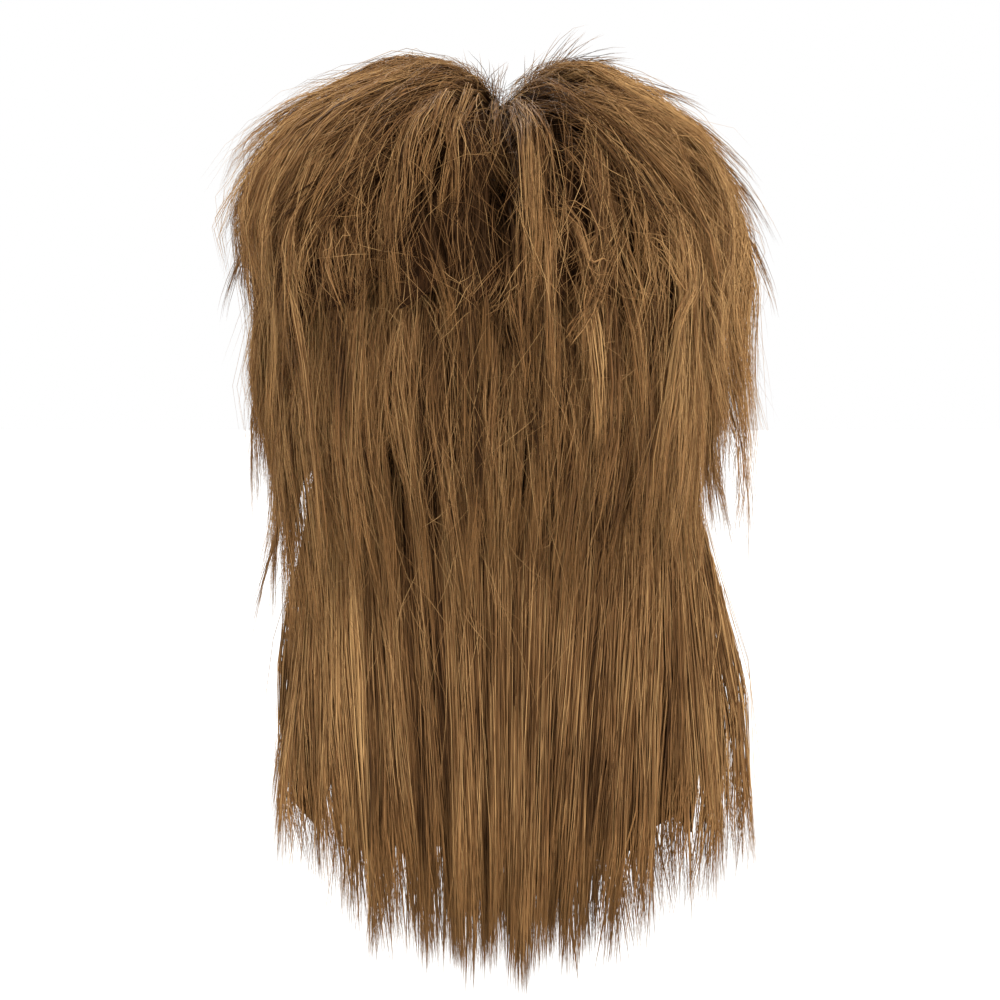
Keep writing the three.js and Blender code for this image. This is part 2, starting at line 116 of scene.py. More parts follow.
class WigHair(bpy.types.PropertyGroup):
    """Sizes and colours of the hair."""

    strand_width: FloatProperty(
        name="Strand width",
        description="Width of a single strand where it is thickest",
        default=0.0005,
        unit="LENGTH",
    )
    lock_width: FloatProperty(
        name="Flat lock width",
        description="Width of the flat locks that fill the hair under its single strands",
        default=0.0022,
        unit="LENGTH",
    )
    stand_off: FloatProperty(
        name="Stand off",
        description="How far a loose strand may stand off the outline of the solids",
        default=0.016,
        unit="LENGTH",
    )
    fullness: FloatProperty(
        name="Fullness",
        description="Share of the full number of locks that is made",
        default=1.0,
        min=0.01,
        max=1.0,
        subtype="FACTOR",
    )
    seed: IntProperty(
        name="Seed",
        description="Changes every lock at once",
        default=7,
    )
    shadow: FloatVectorProperty(
        name="Shadow brown",
        description="The darkest strands and the hair underneath",
        default=(0.040, 0.017, 0.006),
        size=3,
        subtype="COLOR",
    )
    brown: FloatVectorProperty(
        name="Brown",
        description="Most of the strands",
        default=(0.225, 0.108, 0.040),
        size=3,
        subtype="COLOR",
    )
    gold: FloatVectorProperty(
        name="Golden brown",
        description="The lightest strands on the surface",
        default=(0.56, 0.33, 0.135),
        size=3,
        subtype="COLOR",
    )
    ends: FloatVectorProperty(
        name="Ends",
        description="The tips, which are a little lighter and redder",
        default=(0.52, 0.26, 0.090),
        size=3,
        subtype="COLOR",
    )
    sheen: FloatVectorProperty(
        name="Sheen",
        description="Tint of the highlights on the strands",
        default=(1.0, 0.80, 0.55),
        size=3,
        subtype="COLOR",
    )


class WigCap(bpy.types.PropertyGroup):
    """Sizes and colours of the cap."""

    net: FloatVectorProperty(
        name="Net",
        description="Colour of the stretch net",
        default=(0.035, 0.022, 0.014),
        size=3,
        subtype="COLOR",
    )
    net_pitch: FloatProperty(
        name="Net pitch",
        description="Distance between the threads of the net",
        default=0.0022,
        unit="LENGTH",
    )
    weft_pitch: FloatProperty(
        name="Weft pitch",
        description="Distance between the sewn rows of hair",
        default=0.011,
        unit="LENGTH",
    )


class WigStage(bpy.types.PropertyGroup):
    """Where the camera stands, how much it sees and how bright the studio is."""

    camera_distance: FloatProperty(
        name="Camera distance",
        description="From the camera to the middle of the wig",
        default=1.7,
        unit="LENGTH",
    )
    camera_elevation: FloatProperty(
        name="Camera elevation",
        description="How far the camera looks down",
        default=math.radians(3),
        unit="ROTATION",
    )
    view_width: FloatProperty(
        name="View width",
        description="Width of what the picture shows, at the middle of the wig",
        default=0.55,
        unit="LENGTH",
    )
    floor_drop: FloatProperty(
        name="Floor drop",
        description="How far the floor lies under the longest hair, which hangs free",
        default=0.6,
        unit="LENGTH",
    )
    room_light: FloatProperty(
        name="Room light",
        description="Strength of the light that comes from all round",
        default=0.5,
        min=0.0,
    )


# How each layer is combed. "arc" is in degrees and "levels" is how far down the layer reaches. Roots and
# tips are levels: "roots" is where its locks start, and a tip lies "past" below the hem or up to "short"
# above it, or "run" below its root if that is less. "mass_short" is how much shorter the mass under the
# strands is.
# In millimetres, "lock" is a lock's width, "skin" how deep under the surface its strands go, "puff" how far
# they stand over it round the head and below, "lift" how much further their tips do, "flare" how much
# further the left and the right end of the arc do, and "wander" how far a lock strays.
# In degrees, "lean" is how far a lock turns aside, "clump" how far locks draw together and "fan" how far
# their tips spread. "gather" is how far a lock draws in to its point, "fray" how uneven its strands' lengths
# are, and "sweep" how far it is combed out from the parting. A flat lock keeps its width longer, the larger
# "blunt" is. "shade" is lighter over 0, "uneven" its spread. The shares of strands or locks that stray, lie
# deep or line the inside are "stray", "deep" and "lining".
USUAL = {
    "under": (),
    "slot": "long_hair",
    "flats": 4,
    "points": 6,
    "lock": 12,
    "skin": 3.0,
    "puff": (0, 0),
    "flare": (0, 0),
    "wander": 3.4,
    "gather": 0.7,
    "clump": 0.9,
    "fray": 0.16,
    "uneven": 0.1,
    "stray": 0.1,
    "deep": 0.1,
    "lining": 0.12,
    "sweep": 0.0,
    "frizz": 0,
    "blunt": SPIKE,
    "fan": 0.0,
}
LAYERS = {
    "nape": dict(
        USUAL,
        node="nape_layer", arc=(-73, 73), levels=(0.86, 2.06),
        locks=194, strands=24, roots=(1.02, 1.3), run=1.1, short=0.065, past=0.05,
        skin=2.2, lift=(-1, 3), flare=(6, 14), wander=1.5,
        lean=2.4, gather=0.12, clump=0.6, fan=2.2, fray=0.055, blunt=6,
        shade=-0.03, uneven=0.11, stray=0.08, lining=0.14, mass_short=0.13,
    ),
    "middle": dict(
        USUAL,
        node="middle_layer", under=("nape_layer",), arc=(-71, 71), levels=(0.46, 1.62),
        locks=186, strands=24, roots=(0.6, 1.02), run=0.62, short=0.4, past=0.16,
        puff=(3, 2), lift=(-1, 4), flare=(6, 1),
        lean=5, frizz=900,
        shade=0.02, stray=0.12, deep=0.06, lining=0.0, mass_short=0.14,
    ),
    "side_left": dict(
        USUAL,
        node="side_left", arc=(72, 139), levels=(0.46, 1.56),
        locks=80, strands=23, roots=(0.58, 1.0), run=0.64, short=0.3, past=0.1,
        puff=(13, -3), lift=(-1, 11),
        lean=6,
        shade=0.1, deep=0.08, mass_short=0.2,
    ),
    "fringe": dict(
        USUAL,
        node="fringe", arc=(140, 220), levels=(0.42, 1.04),
        locks=56, flats=3, strands=22, roots=(0.46, 0.72), run=0.5, short=0.14, past=0.05,
        lock=10, skin=2.5, lift=(-1, 5), wander=2.0,
        lean=6, gather=0.75, fray=0.14,
        shade=0.0, mass_short=0.1,
    ),
    "crown_left": dict(
        USUAL,
        node="crown_left", under=("middle_layer", "side_left", "fringe"), slot="crown_hair",
        arc=(0.5, 179.5), levels=(0.0, 1.5),
        locks=172, flats=3, strands=22, points=8, roots=(0.01, 0.86), run=0.68, short=0.5, past=0.36,
        lock=13, skin=3.4, puff=(1, 1), lift=(-2, 10), wander=5.5,
        lean=16, gather=0.72, clump=0.0, sweep=0.7, frizz=1400,
        shade=-0.07, uneven=0.13, stray=0.16, deep=0.0, lining=0.0, mass_short=0.1,
    ),
}
LAYERS["side_right"] = dict(
    LAYERS["side_left"],
    node="side_right",
    arc=(-139, -72),
    puff=(5, -8),
    lift=(-1, 8),
)
LAYERS["crown_right"] = dict(
    LAYERS["crown_left"],
    node="crown_right",
    under=("middle_layer", "side_right", "fringe"),
    arc=(-179.5, -0.5),
    puff=(7, 7),
    # painted light: the right puff is painted lighter than the left one, on the side where the key light
    # falls
    shade=0.1,
)

# How light the middle of the hair is, and how much lighter, or darker under 0, some of it is. "sunk" and
# "hollow" are for each millimetre, and "spread" is how much the strands of one lock differ.
TONES = {
    "middle": 0.47,
    "light_lock": 0.16,
    "sides_of_back": 0.17,
    # painted shade, partly darker hair: the crown's valley at the parting
    "parting": -0.24,
    # painted highlight: the locks that stand up, which catch the light
    "standing": 0.1,
    # painted shade: flat locks lie under the single strands
    "flat": -0.15,
    # painted shade: deep locks lie inside the layer
    "deep": -0.22,
    # painted shade: lining strands lie on the layer's inside
    "lining": -0.12,
    "stray": 0.12,
    # painted shade, for each millimetre that a lock or strand lies under the surface
    "sunk": -0.03,
    # painted shade, for each millimetre that the hair is pushed into a hollow
    "hollow": -0.05,
    "spread": 0.14,
}
LIGHT_LOCK_SHARE = 0.14

# The crown's locks: what share of them starts at its top or stands up, how far those stand up in
# millimetres and how wide they are beside the rest.
TOP_SHARE = 0.24
STANDING_SHARE = 0.28
STANDING_LIFT = (7, 17)
STANDING_WIDTH = 0.55

# The light locks that show at the back of the crown, from one direction and level to another. Each is
# a bundle of a few locks, with its own width in millimetres and its own shade, lighter than most if over 0.
LIGHT_LOCKS = {
    "crown_left": (
        {"from": (17, 0.30), "to": (10.5, 0.86), "width": 8, "shade": 0.14},
        {"from": (27, 0.34), "to": (22, 0.96), "width": 11, "shade": 0.05},
        {"from": (44, 0.36), "to": (66, 0.86), "width": 17, "shade": 0.14},
        {"from": (58, 0.26), "to": (84, 0.74), "width": 17, "shade": 0.12},
    ),
    "crown_right": (
        {"from": (-8, 0.26), "to": (-8.5, 1.06), "width": 8, "shade": 0.17},
        {"from": (-30, 0.30), "to": (-66, 0.80), "width": 17, "shade": 0.18},
        {"from": (-46, 0.22), "to": (-82, 0.76), "width": 18, "shade": 0.20},
        {"from": (-38, 0.50), "to": (-52, 1.02), "width": 14, "shade": 0.12},
    ),
}
BUNDLE = 3

# Wisps that stand off the crown's outline. Each goes from one angle and radius to another, in degrees from
# upright and millimetres from the middle of the head, and lies that far towards the back.
WISPS = (
    {"from": (3, 119), "to": (1, 138), "back": 12, "hairs": 22},
    {"from": (6, 124), "to": (9, 146), "back": 10, "hairs": 16},
    {"from": (-6, 120), "to": (-10, 147), "back": 12, "hairs": 18},
    {"from": (-9, 126), "to": (-17, 165), "back": 6, "hairs": 22},
    {"from": (-13, 140), "to": (-28, 158), "back": 8, "hairs": 24},
    {"from": (15, 142), "to": (29, 157), "back": 8, "hairs": 22},
    {"from": (27, 146), "to": (46, 161), "back": 4, "hairs": 26},
    {"from": (-27, 144), "to": (-46, 159), "back": 4, "hairs": 26},
    {"from": (38, 149), "to": (61, 161), "back": 6, "hairs": 26},
    {"from": (-38, 146), "to": (-63, 158), "back": 6, "hairs": 26},
    {"from": (50, 149), "to": (75, 158), "back": 10, "hairs": 26},
    {"from": (-50, 145), "to": (-77, 155), "back": 10, "hairs": 26},
    {"from": (70, 144), "to": (89, 153), "back": 8, "hairs": 20},
    {"from": (-70, 142), "to": (-90, 152), "back": 8, "hairs": 20},
)

# The hollows between the teased locks at the back of the crown, in millimetres from the crown's top. They
# push the hair in, and the hair in them is darkened with painted shade.
HOLLOWS = (
    {"x": 40, "z": -14, "width": 8, "height": 24, "depth": 17},
    {"x": 2, "z": -30, "width": 8, "height": 34, "depth": 18},
    {"x": -25, "z": -22, "width": 7, "height": 18, "depth": 10},
    {"x": 62, "z": -30, "width": 9, "height": 14, "depth": 6},
    {"x": -58, "z": -44, "width": 9, "height": 20, "depth": 6},
    {"x": 50, "z": -72, "width": 7, "height": 16, "depth": 7},
    {"x": -34, "z": -70, "width": 6, "height": 20, "depth": 7},
)

# Painted shade where the long locks part: the direction and width in degrees, between which levels, and how
# much darker the strands are painted there.
PAINTED_PART_SHADES = (
    {"around": 21, "width": 1.1, "from": 1.15, "to": 1.82, "shade": 0.3},
    {"around": 29, "width": 0.8, "from": 1.3, "to": 1.74, "shade": 0.22},
    {"around": 9, "width": 0.7, "from": 1.2, "to": 1.6, "shade": 0.22},
    {"around": 46, "width": 0.9, "from": 1.25, "to": 1.8, "shade": 0.24},
    {"around": 62, "width": 1.0, "from": 1.5, "to": 1.78, "shade": 0.24},
    {"around": -4, "width": 0.7, "from": 1.1, "to": 1.5, "shade": 0.2},
    {"around": -20, "width": 1.0, "from": 1.55, "to": 1.9, "shade": 0.24},
    {"around": -30, "width": 0.7, "from": 1.2, "to": 1.6, "shade": 0.2},
    {"around": -39, "width": 1.0, "from": 1.6, "to": 1.9, "shade": 0.26},
    {"around": -55, "width": 0.9, "from": 1.2, "to": 1.7, "shade": 0.2},
)


def smooth_step(low, high, value):
    share = np.clip((value - low) / (high - low), 0, 1)
    return share * share * (3 - 2 * share)


def axis_point(level):
    """Points on the axis that the hair is measured from."""
    below = np.clip(level - 1, 0, None)
    point = np.zeros(np.shape(level) + (3,))
    point[..., 1] = BACK_SHIFT * smooth_step(0.1, 0.9, below)
    point[..., 2] = HEAD_CENTRE_Z - below * FALL
    return point


def outward(around, level):
    """Unit directions: out from the head's centre above its widest part, and level below it."""
    turn = np.radians(around)
    down = np.clip(level, 0, 1) * math.pi / 2
    return np.stack(
        [np.sin(down) * np.sin(turn), np.sin(down) * np.cos(turn), np.cos(down)], axis=-1
    )


def place(around, level, radius):
    return axis_point(level) + outward(around, level) * radius[..., None]


class Field:
    """The inner and outer faces of some solids, read along rays from the head's axis."""

    def __init__(self, nodes, arc, levels, columns=140, rows=80):
        corners, faces = [], []
        for node in nodes:
            first = len(corners)
            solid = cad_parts[node].data
            corners += [v.co for v in solid.vertices]
            faces += [tuple(first + i for i in p.vertices) for p in solid.polygons]
        tree = BVHTree.FromPolygons(corners, faces)
        self.around = np.linspace(arc[0], arc[1], columns)
        self.level = np.linspace(levels[0], levels[1], rows)
        turn, down = np.meshgrid(self.around, self.level, indexing="ij")
        starts = axis_point(down)
        ways = outward(turn, down)
        inner = np.full(turn.shape, np.nan)
        outer = np.full(turn.shape, np.nan)
        for i, j in np.ndindex(turn.shape):
            start = Vector(starts[i, j])
            way = Vector(ways[i, j])
            near = tree.ray_cast(start, way)[3]
            if near is not None:
                inner[i, j] = near
                outer[i, j] = RAY_LENGTH - tree.ray_cast(start + way * RAY_LENGTH, -way)[3]
        self.hem = self.carry_on(inner, outer)
        self.inner = self.even(inner)
        self.outer = self.even(outer)
        self.hem = np.convolve(np.pad(self.hem, 4, mode="edge"), np.ones(9) / 9, mode="valid")

    def carry_on(self, inner, outer):
        """Carries both faces on past the root and the hem. Returns the hem's level in each direction."""
        hem = np.full(len(self.around), np.nan)
        for i in range(len(self.around)):
            held = np.flatnonzero(~np.isnan(outer[i]))
            if len(held) < 2:
                continue
            hem[i] = self.level[held[-1]]
            for face in (inner, outer):
                face[i] = np.interp(self.level, self.level[held], face[i, held])
        held = np.flatnonzero(~np.isnan(hem))
        for i in np.flatnonzero(np.isnan(hem)):
            nearest = held[np.argmin(np.abs(held - i))]
            inner[i] = inner[nearest]
            outer[i] = outer[nearest]
            hem[i] = hem[nearest]
        return hem

    @staticmethod
    def even(face, passes=3):
        """Evens out the facets of a face."""
        for _ in range(passes):
            for axis in (0, 1):
                padded = np.pad(face, [(1, 1) if a == axis else (0, 0) for a in (0, 1)], mode="edge")
                face = (padded.take(range(0, face.shape[axis]), axis) + 2 * face
                        + padded.take(range(2, face.shape[axis] + 2), axis)) / 4
        return face

    def hem_at(self, around):
        return np.interp(around, self.around, self.hem)

    def faces_at(self, around, level):
        """The inner and outer radius at arrays of directions and levels."""
        column = np.interp(around, self.around, np.arange(len(self.around)))
        row = np.interp(level, self.level, np.arange(len(self.level)))
        i = np.minimum(column.astype(int), len(self.around) - 2)
        j = np.minimum(row.astype(int), len(self.level) - 2)
        u = column - i
        v = row - j
        found = []
        for face in (self.inner, self.outer):
            near = face[i, j] * (1 - v) + face[i, j + 1] * v
            far = face[i + 1, j] * (1 - v) + face[i + 1, j + 1] * v
            found.append(near * (1 - u) + far * u)
        return found


class Surface:
    """A layer's two faces, let down past its hem onto the layers under it."""

    def __init__(self, layer):
        self.own = Field((layer["node"],), layer["arc"], layer["levels"])
        self.under = Field(layer["under"], layer["arc"], layer["levels"]) if layer["under"] else None

    def hem_at(self, around):
        return self.own.hem_at(around)

    def faces_at(self, around, level):
        inner, outer = self.own.faces_at(around, level)
        if self.under is not None:
            beneath = self.under.faces_at(around, level)[1] + LAYER_GAP
            down = smooth_step(-0.3, 0.2, level - self.own.hem_at(around))
            outer = outer + np.minimum(beneath - outer, 0) * down
            inner = np.minimum(inner, outer - THINNEST_LAYER)
        return inner, outer


def hollow_depth(points):
    """How far the crown's hollows push in the hair at each point."""
    depth = np.zeros(points.shape[:-1])
    for hollow in HOLLOWS:
        aside = (points[..., 0] / MM - hollow["x"]) / hollow["width"]
        down = (points[..., 2] / MM - hollow["z"]) / hollow["height"]
        depth += hollow["depth"] * MM * np.exp(-(aside ** 2) - down ** 2)
    return depth * (points[..., 1] > 0)


def painted_part_shade(around, level):
    """Painted shade: how much darker the strands are painted where the long locks part."""
    darker = np.zeros(np.shape(level))
    for part in PAINTED_PART_SHADES:
        aside = (around - part["around"]) / part["width"]
        reach = smooth_step(part["from"] - 0.1, part["from"] + 0.1, level)
        reach = reach * (1 - smooth_step(part["to"] - 0.1, part["to"] + 0.1, level))
        darker = darker + part["shade"] * np.exp(-aside ** 2) * reach
    return darker


def waves(count, t, rng):
    """Slow random curves, one for each lock or strand, with a size of about 1."""
    curve = np.zeros((count, t.size, 3))
    for turns in WAVE_TURNS:
        phase = 2 * math.pi * rng.random((count, 1, 3))
        size = rng.normal(size=(count, 1, 3)) / (1 + turns)
        curve += size * np.sin(2 * math.pi * turns * t.reshape(1, -1, 1) + phase)
    return curve


def plan_locks(layer, surface, hair, rng):
    """Where each lock of a layer starts and ends, and what it is like."""
    crown = layer["slot"] == "crown_hair"
    count = max(4, round(layer["locks"] * hair.fullness))
    low, high = layer["arc"]
    turn = low + (high - low) * (np.arange(count) + rng.random(count)) / count
    rng.shuffle(turn)
    first, last = layer["roots"]
    root = first + (last - first) * rng.random(count)
    swing = layer["lean"] * rng.normal(size=count) * 0.5
    sink = rng.exponential(LOCK_SINK, count) * layer["skin"]
    lift_low, lift_high = layer["lift"]
    lift = lift_low + (lift_high - lift_low) * rng.random(count) ** 2
    width = np.full(count, float(layer["lock"]))
    tone = TONES["middle"] + layer["shade"] + layer["uneven"] * rng.normal(size=count)
    tone = tone + TONES["light_lock"] * (rng.random(count) < LIGHT_LOCK_SHARE)
    tone = tone + TONES["sides_of_back"] * smooth_step(25, 65, np.abs(turn)) * (np.abs(turn) < 100)
    if crown:
        # as many roots on each patch of the dome, and then some more at its top
        dome = 1 - math.cos(last * math.pi / 2)
        root = np.maximum(np.arccos(1 - dome * rng.random(count)) * 2 / math.pi, first)
        at_top = rng.random(count) < TOP_SHARE
        root = np.where(at_top, first + 0.3 * rng.random(count), root)
        side = 90 * np.sign(low + high)
        parting = np.minimum(np.abs(turn), 180 - np.abs(turn))
        combed_out = rng.random(count) > 0.15 + 0.75 * np.exp(-parting / 18)
        strength = layer["sweep"] * rng.uniform(0.4, 1.2, count) * (1 - smooth_step(0.35, 0.85, root))
        swing = swing + strength * combed_out * (side - turn) * np.where(np.abs(turn) > 90, 0.4, 1)
        # painted shade, partly darker hair, in the valley at the parting between the crown's two puffs
        tone = tone + TONES["parting"] * np.exp(-(np.abs(turn) / 32) ** 2)
        standing = rng.random(count) < STANDING_SHARE
        lift = np.where(standing, rng.uniform(*STANDING_LIFT, count), lift)
        lift = lift * (0.4 + 0.6 * smooth_step(20, 75, np.abs(turn)))
        sink = np.where(standing, 0, sink)
        # painted highlight: the locks that stand up are lighter, as they catch the light
        tone = tone + TONES["standing"] * standing
        width = np.where(standing, width * STANDING_WIDTH, width)
    hem = surface.hem_at(turn)
    tip = hem + layer["past"] - layer["short"] * rng.random(count) ** 1.4
    if layer["fan"]:
        # the long hair is cut a little shorter at its left edge
        tip = tip - 0.06 * smooth_step(54, 70, turn)
    tip = np.minimum(tip, root + layer["run"] * (0.75 + 0.5 * rng.random(count)))
    return {
        "turn": turn,
        "root": root,
        "tip": tip,
        "swing": swing,
        "sink": sink,
        "lift": lift,
        "width": width,
        # painted shade: a lock that lies deeper is darker
        "tone": tone + TONES["sunk"] * sink,
        "deep": rng.random(count) < layer["deep"],
        "lining": rng.random(count) < layer["lining"],
        "shown": np.zeros(count, dtype=bool),
    }


def plan_light_locks(rows, rng):
    """The locks that are listed one by one, as bundles."""
    rows = [row for row in rows for _ in range(BUNDLE)]
    count = len(rows)
    start = np.array([row["from"] for row in rows], dtype=float).reshape(count, 2)
    end = np.array([row["to"] for row in rows], dtype=float).reshape(count, 2)
    return {
        "turn": start[:, 0] + 2 * rng.normal(size=count),
        "root": start[:, 1] + rng.uniform(-0.16, 0.1, count),
        "tip": end[:, 1] + rng.uniform(-0.16, 0.1, count),
        "swing": end[:, 0] - start[:, 0] + 2 * rng.normal(size=count),
        "sink": rng.uniform(-1, 1, count),
        "lift": rng.uniform(0, 4, count),
        "width": np.array([float(row["width"]) for row in rows]),
        "tone": TONES["middle"] + np.array([row["shade"] for row in rows]),
        "deep": np.zeros(count, dtype=bool),
        "lining": np.zeros(count, dtype=bool),
        "shown": np.ones(count, dtype=bool),
    }


def flare(layer, around):
    """How far the two ends of a layer's arc stand off further than its middle."""
    low, high = layer["arc"]
    to_end = (around - (low + high) / 2) * 2 / (high - low)
    left, right = layer["flare"]
    return np.where(to_end > 0, left, right) * MM * smooth_step(0.6, 1, np.abs(to_end))


def puff(layer, level):
    """How far a layer's hair stands over its solid, round the widest part of the head and below it."""
    round_head, below = layer["puff"]
    rise = round_head * smooth_step(0.25, 0.65, level)
    return (rise + (below - round_head) * smooth_step(1.06, 1.24, level)) * MM


def comb(layer, surface, locks, hair, rng):
    """The strands of the locks: rows of points, and what each strand is like."""
    crown = layer["slot"] == "crown_hair"
    each = layer["flats"] + layer["strands"]
    total = len(locks["turn"])
    own = np.repeat(np.arange(total), each)
    lock = {key: values[own] for key, values in locks.items()}
    count = len(own)
    flat = np.tile(np.arange(each) < layer["flats"], total)
    stray = (rng.random(count) < layer["stray"]) & ~flat
    t = np.linspace(0, 1, layer["points"])[None, :]

    aside = rng.uniform(-1, 1, count) * np.where(flat, 0.7, 1)
    shorter = layer["fray"] * rng.random(count) ** 2 + 0.25 * (rng.random(count) < layer["fray"])
    start = lock["root"] + rng.normal(size=count) * 0.02
    end = start + (lock["tip"] - start) * (1 - shorter)
    level = np.maximum(start[:, None] + (end - start)[:, None] * t, layer["levels"][0] + FIRST_LEVEL)
    gather = np.where(stray, 0, layer["gather"])[:, None]
    half = lock["width"][:, None] / 2 * MM * aside[:, None] * (1 - gather * t ** 1.5)
    reach = HEAD_REACH * np.clip(np.sin(np.clip(level, 0, 1) * math.pi / 2), 0.22, None)
    around = lock["turn"][:, None] + lock["swing"][:, None] * (t ** 0.9 if crown else t ** 1.5)
    around = around + np.degrees(half / reach)
    around = around + (rng.normal(size=count) * np.where(stray, 5, 0.5))[:, None] * t
    drawn = np.sin(np.radians(around * 27)) + 0.7 * np.sin(np.radians(around * 61 + 40))
    around = around + layer["clump"] * drawn * smooth_step(0.1, 0.9, t)
    around = around + layer["fan"] * rng.normal(size=count)[:, None] * smooth_step(0.7, 1.1, t)

    inner, outer = surface.faces_at(around, level)
    outer = outer + puff(layer, level)
    thickness = outer - inner
    sink = lock["sink"] + rng.exponential(STRAND_SINK, count) * layer["skin"] + np.where(flat, 1.0, 0)
    sink = np.where(stray, sink * 0.2, sink)
    rising = np.exp(-t / 0.04) * 0.2 if crown else np.exp(-t / 0.08) * 0.8
    radius = outer - (sink * MM)[:, None] - thickness * rising
    depth = 0.1 + 0.6 * rng.random(total)[own]
    buried = np.minimum(inner + thickness * depth[:, None], radius)
    radius = np.where(lock["deep"][:, None], buried, radius)
    lining = inner + (rng.uniform(0.3, 2.3, count) * MM)[:, None]
    radius = np.where(lock["lining"][:, None], np.minimum(lining, radius), radius)
    radius = np.maximum(radius, inner + LEAST_COVER)
    lift = lock["lift"] + np.where(stray, np.abs(rng.normal(size=count)) * 4, 0)
    lift = np.where(lock["lining"], 0, lift)
    radius = radius + (lift * MM)[:, None] * t ** 1.8
    out_at_ends = flare(layer, around) * smooth_step(0, 0.6, t)
    radius = radius + np.where(lock["lining"][:, None], 0.3, 1) * out_at_ends

    tone = lock["tone"] + TONES["spread"] * rng.normal(size=count)
    # painted shade: strands that lie deeper, flat locks, deep locks and lining strands are darker
    tone = tone + TONES["sunk"] * (sink - lock["sink"])
    tone = tone + TONES["flat"] * flat + TONES["deep"] * lock["deep"]
    tone = tone + TONES["lining"] * lock["lining"] + TONES["stray"] * stray
    # painted shade in the gaps where the long locks part
    tone = np.repeat(tone[:, None], t.size, axis=1) - painted_part_shade(around, level)
    if crown:
        pushed = hollow_depth(place(around, level, radius))
        pushed = pushed * np.where(lock["shown"], 0, np.where(stray, 0.15, 1))[:, None]
        radius = np.maximum(radius - pushed, inner + LEAST_COVER)
        # painted shade: hair pushed into a hollow is darker
        tone = tone + TONES["hollow"] * (pushed / MM)
    paths = place(around, level, radius)
    drift = layer["wander"] * MM * waves(total, t, rng)[own]
    drift += layer["wander"] * 0.45 * MM * waves(count, t, rng) * np.where(stray, 2.6, 1)[:, None, None]
    paths += drift * np.where(lock["shown"], 0.7, 1)[:, None, None] * (0.1 + t[..., None])
    width = np.where(flat, hair.lock_width, hair.strand_width) * (0.6 + 0.6 * rng.random(count))
    width = np.where(flat & lock["shown"], 0.5 * width, width)
    width = np.where(stray, 0.7 * hair.strand_width, width)
    return {
        "paths": paths,
        "outward": outward(around, level),
        "width": width,
        "flat": flat,
        "blunt": np.where(flat, layer["blunt"], (layer["blunt"] + SPIKE) / 2),
        "tone": np.clip(tone, 0.02, 1),
    }


def single_hairs(paths, ways, width, tones):
    """Lone hairs, described as comb describes the strands of a lock."""
    count, points, _ = paths.shape
    return {
        "paths": paths,
        "outward": ways,
        "width": np.full(count, width),
        "flat": np.zeros(count, dtype=bool),
        "blunt": np.full(count, SPIKE),
        "tone": np.repeat(tones[:, None], points, axis=1),
    }


def comb_frizz(layer, surface, hair, rng):
    """Fine single hairs that lie across the locks in all directions."""
    count = max(4, round(layer["frizz"] * hair.fullness))
    low, high = layer["arc"]
    t = np.linspace(0, 1, SINGLE_HAIR_POINTS)[None, :]
    turn = low + (high - low) * rng.random(count)
    first = layer["roots"][0]
    start = first + (surface.hem_at(turn) + 0.1 - first) * rng.random(count) ** 0.8
    run = rng.normal(size=count) * 0.09 + 0.15
    level = np.maximum(start[:, None] + run[:, None] * t, layer["levels"][0] + FIRST_LEVEL)
    around = turn[:, None] + (rng.normal(size=count) * 9)[:, None] * t
    outer = surface.faces_at(around, level)[1]
    over = rng.uniform(-2.5, 1, count)[:, None] * MM + puff(layer, level)
    radius = outer + over + 1.5 * MM * np.sin(math.pi * t)
    paths = place(around, level, radius) + 2.4 * MM * waves(count, t, rng)
    tones = rng.uniform(0.4, 0.75, count)
    return single_hairs(paths, outward(around, level), 0.5 * hair.strand_width, tones)


def comb_wisps(side, hair, rng):
    """The hairs of the wisps on one side of the crown: 1 for the wearer's left, -1 for the right."""
    rows = [row for row in WISPS if row["from"][0] * side > 0 for _ in range(row["hairs"])]
    count = len(rows)
    t = np.linspace(0, 1, SINGLE_HAIR_POINTS)
    start = np.array([row["from"] for row in rows], dtype=float)
    end = np.array([row["to"] for row in rows], dtype=float)
    start += rng.normal(size=(count, 2)) * (2, 1) - (0, 4)
    end += rng.normal(size=(count, 2)) * (2, 1.5)
    end = start + (end - start) * rng.uniform(0.6, 1, (count, 1))
    angle = np.radians(start[:, :1] + (end - start)[:, :1] * t)
    radius = (start[:, 1:] + (end - start)[:, 1:] * t ** 0.8) * MM
    back = (np.array([float(row["back"]) for row in rows]) + 12 * rng.normal(size=count)) * MM
    back = np.repeat(back[:, None], t.size, axis=1)
    paths = np.stack([radius * np.sin(angle), back, HEAD_CENTRE_Z + radius * np.cos(angle)], axis=-1)
    paths = paths + 0.8 * MM * waves(count, t, rng)
    backwards = np.tile((0.0, 1.0, 0.0), (count, t.size, 1))
    return single_hairs(paths, backwards, 0.8 * hair.strand_width, rng.uniform(0.15, 0.65, count))


